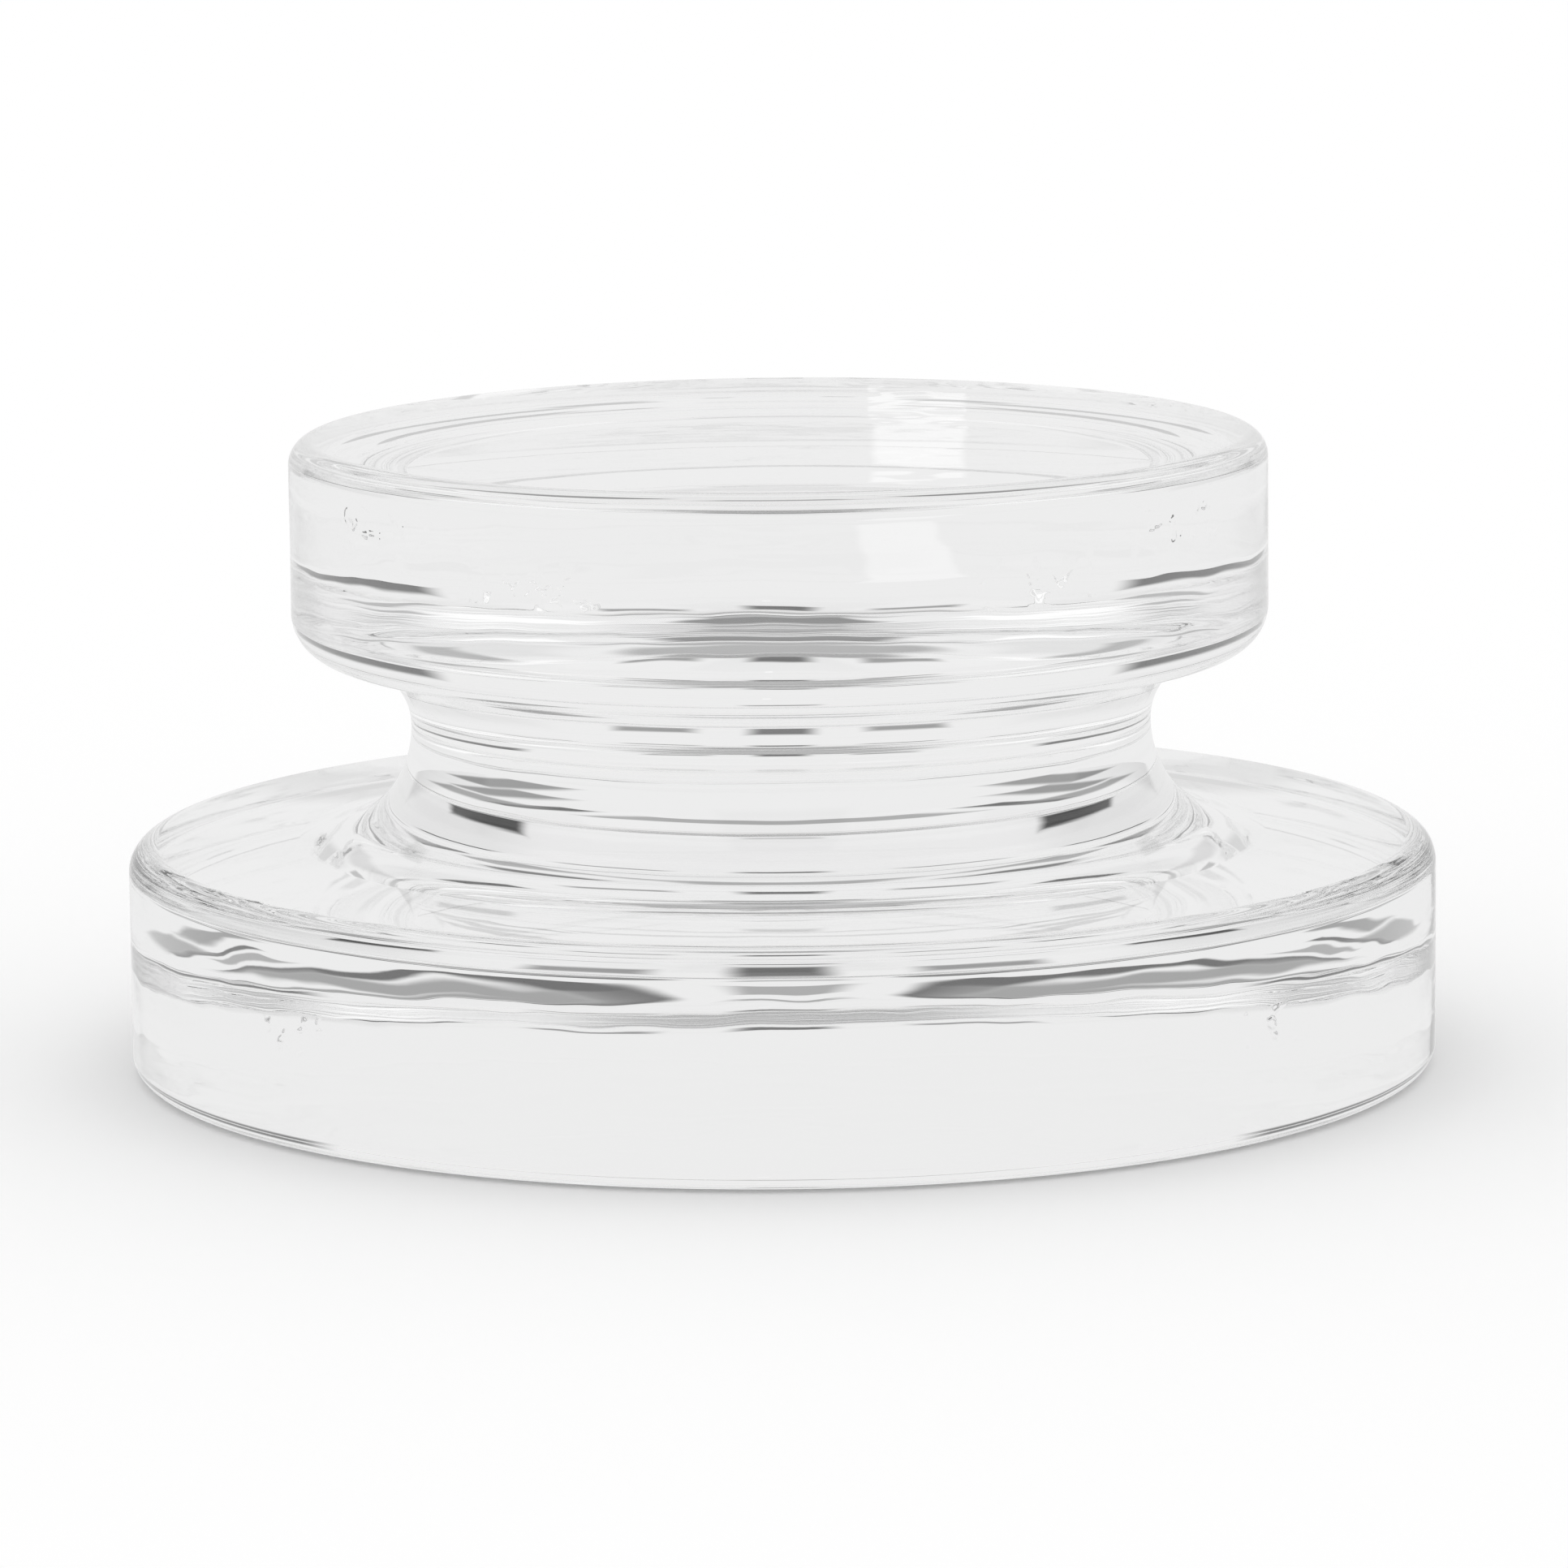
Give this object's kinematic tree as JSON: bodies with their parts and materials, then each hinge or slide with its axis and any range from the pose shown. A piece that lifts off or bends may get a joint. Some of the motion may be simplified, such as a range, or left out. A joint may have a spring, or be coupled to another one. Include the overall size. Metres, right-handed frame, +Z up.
{
  "type": "pillar candle holder",
  "caption": "Low round pillar candle holder of clear pressed glass: a thick flat plate on a coved waist and a wider heavy foot.",
  "frame": {"origin": "centre of the flat resting face, on the axis the glass is round about", "axes": "+Z up along that axis, from the table to the candle's seat; the holder is the same all round it"},
  "size_m": [0.135, 0.135, 0.065],
  "materials": {
    "clear_glass": "pressed clear glass, fire-polished, plain resting face"
  },
  "bodies": {
    "root": {"glass_holder": "clear_glass"}
  },
  "joints": []
}
